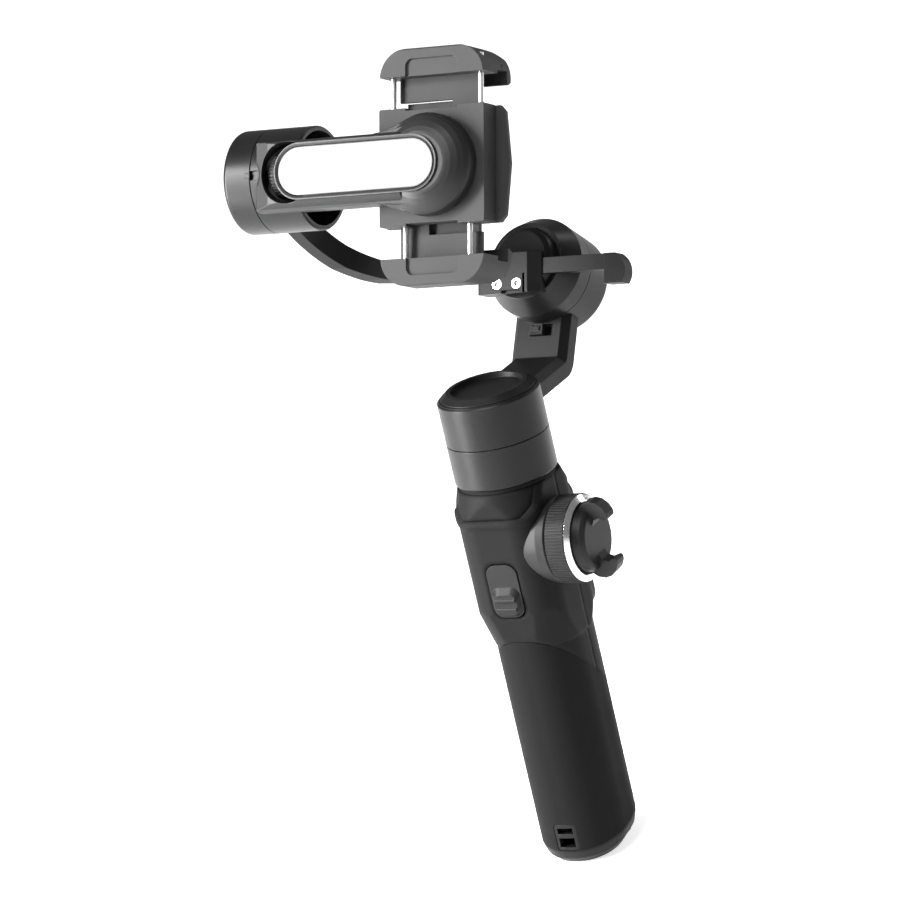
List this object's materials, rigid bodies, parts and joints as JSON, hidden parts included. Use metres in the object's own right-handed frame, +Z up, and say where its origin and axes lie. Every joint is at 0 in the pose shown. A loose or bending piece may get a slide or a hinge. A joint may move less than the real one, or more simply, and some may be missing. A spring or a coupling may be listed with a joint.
{
  "type": "camera gimbal",
  "caption": "Handheld gimbal that carries a phone in a sprung clamp on pan, roll and tilt motors, with a fill light, focus wheel, zoom lever and trigger on its handle.",
  "frame": {"origin": "mouth of the quarter-inch tripod thread in the base of the handle", "axes": "+Z up the handle along the pan axis; -Y to the front, the side that the fill light and the phone rear cameras look to; +X to the side with the focus wheel"},
  "size_m": [0.1431, 0.1176, 0.3458],
  "materials": {
    "shell_plastic": "fine-grained matte moulding",
    "hood_plastic": "satin moulding",
    "rubber": "soft matte rubber",
    "dark_plastic": "matte moulding",
    "core_plastic": "plain moulding",
    "record_red": "satin red",
    "clamp_plastic": "matte moulding, a little lighter",
    "motor_paint": "satin dark paint",
    "bezel_metal": "satin dark paint",
    "polished_ring": "polished bevel",
    "steel": "ground bright steel",
    "magnet": "nickel plated",
    "copper": "enamelled copper windings",
    "brass": "turned brass",
    "battery": "shrink sleeve",
    "board": "solder mask",
    "led_board": "white solder mask",
    "diffuser": "milky white, lit from behind"
  },
  "bodies": {
    "handle": {"front_shell": "shell_plastic", "rear_shell": "shell_plastic", "neck_panel": "shell_plastic", "grip_core": "core_plastic", "grip_sleeve": "rubber", "base_cap": "dark_plastic", "thread_insert": "brass", "lanyard_bar": "dark_plastic", "battery_cell": "battery", "main_board": "board", "usb_port": "steel", "neck_ring": "dark_plastic", "control_panel": "dark_plastic", "trigger_pin": "steel", "wheel_hood": "hood_plastic", "wheel_axle": "steel", "pan_base": "motor_paint", "pan_stator": "copper", "pan_bearing": "steel"},
    "yaw": {"pan_rotor": "motor_paint", "pan_magnets": "magnet", "pan_shaft": "steel", "pan_cap": "dark_plastic", "yaw_arm": "shell_plastic", "roll_base": "motor_paint", "roll_stator": "copper", "roll_bearing": "steel"},
    "roll_lock": {"roll_lock": "dark_plastic"},
    "roll": {"roll_rotor": "motor_paint", "roll_magnets": "magnet", "roll_shaft": "steel", "roll_clamp": "dark_plastic", "clamp_screws": "steel", "roll_arm": "shell_plastic", "tilt_base": "motor_paint", "tilt_stator": "copper"},
    "tilt": {"tilt_rotor": "motor_paint", "tilt_shaft": "steel", "tilt_arm": "shell_plastic", "light_bezel": "bezel_metal", "light_diffuser": "diffuser", "light_board": "led_board"},
    "light_dial": {"light_dial": "dark_plastic"},
    "phone_clamp": {"clamp_block": "clamp_plastic", "back_plate": "clamp_plastic", "jaw_spring": "steel"},
    "upper_jaw": {"upper_jaw": "clamp_plastic", "upper_rods": "steel"},
    "lower_jaw": {"lower_jaw": "clamp_plastic", "lower_rods": "steel"},
    "sync_pinion": {"sync_pinion": "steel"},
    "focus_wheel": {"focus_wheel": "dark_plastic", "wheel_ring": "polished_ring"},
    "zoom_lever": {"zoom_lever": "dark_plastic"},
    "trigger": {"trigger": "dark_plastic"},
    "joystick_ring": {"joystick_ring": "motor_paint"},
    "joystick": {"joystick": "dark_plastic"},
    "record_button": {"record_button": "record_red"},
    "mode_button": {"mode_button": "dark_plastic"},
    "power_button": {"power_button": "dark_plastic"}
  },
  "joints": [
    {"name": "pan_turn", "type": "hinge", "parent": "handle", "child": "yaw", "pos_m": [0, 0, 0.1847], "axis": [0, 0, 1], "range_deg": [-160, 160]},
    {"name": "roll_turn", "type": "hinge", "parent": "yaw", "child": "roll", "pos_m": [0, 0.0804, 0.219], "axis": [0, -0.7837, 0.6211], "range_deg": [-45, 45]},
    {"name": "tilt_turn", "type": "hinge", "parent": "roll", "child": "tilt", "pos_m": [0, 0.0075, 0.2968], "axis": [1, 0, 0], "range_deg": [-110, 110]},
    {"name": "clamp_turn", "type": "hinge", "parent": "tilt", "child": "phone_clamp", "pos_m": [0, 0.0075, 0.2968], "axis": [0, 0.9033, -0.4289], "range_deg": [0, 90]},
    {"name": "upper_jaw_slide", "type": "slide", "parent": "phone_clamp", "child": "upper_jaw", "axis": [0, 0.4289, 0.9033], "range_m": [-0.0098, 0.0062]},
    {"name": "lower_jaw_slide", "type": "slide", "parent": "phone_clamp", "child": "lower_jaw", "axis": [0, -0.4289, -0.9033], "range_m": [-0.0098, 0.0062]},
    {"name": "pinion_spin", "type": "hinge", "parent": "phone_clamp", "child": "sync_pinion", "pos_m": [0, 0.00447, 0.29824], "axis": [0, 0.9033, -0.4289], "range_deg": [-70, 110]},
    {"name": "light_dial_turn", "type": "hinge", "parent": "tilt", "child": "light_dial", "pos_m": [-0.0644, -0.0046, 0.30255], "axis": [1, 0, 0], "range_deg": [0, 270]},
    {"name": "roll_lock_slide", "type": "slide", "parent": "yaw", "child": "roll_lock", "axis": [1, 0, 0], "range_m": [0, 0.0034]},
    {"name": "focus_wheel_turn", "type": "hinge", "parent": "handle", "child": "focus_wheel", "pos_m": [0, -0.004, 0.1388], "axis": [1, 0, 0], "continuous": true},
    {"name": "zoom_lever_turn", "type": "hinge", "parent": "handle", "child": "zoom_lever", "pos_m": [0, -0.004, 0.1388], "axis": [1, 0, 0], "range_deg": [-20, 20], "stiffness_Nm_per_rad": 0.08},
    {"name": "trigger_press", "type": "hinge", "parent": "handle", "child": "trigger", "pos_m": [0, -0.0186, 0.1333], "axis": [1, 0, 0], "range_deg": [0, 6], "stiffness_Nm_per_rad": 0.5},
    {"name": "joystick_up_down", "type": "hinge", "parent": "handle", "child": "joystick_ring", "pos_m": [0, 0.0186, 0.137], "axis": [1, 0, 0], "range_deg": [-8, 8], "stiffness_Nm_per_rad": 0.05},
    {"name": "joystick_left_right", "type": "hinge", "parent": "joystick_ring", "child": "joystick", "pos_m": [0, 0.0186, 0.137], "axis": [0, 0, 1], "range_deg": [-8, 8], "stiffness_Nm_per_rad": 0.05},
    {"name": "record_press", "type": "slide", "parent": "handle", "child": "record_button", "axis": [0, -1, 0], "range_m": [0, 0.001], "stiffness_N_per_m": 400},
    {"name": "mode_press", "type": "slide", "parent": "handle", "child": "mode_button", "axis": [0, -1, 0], "range_m": [0, 0.0008], "stiffness_N_per_m": 400},
    {"name": "power_press", "type": "slide", "parent": "handle", "child": "power_button", "axis": [1, 0, 0], "range_m": [0, 0.0008], "stiffness_N_per_m": 400}
  ],
  "couplings": [
    {"joint": "lower_jaw_slide", "follows": "upper_jaw_slide", "ratio": 1},
    {"joint": "pinion_spin", "follows": "upper_jaw_slide", "rad_per_m": -192.5}
  ]
}
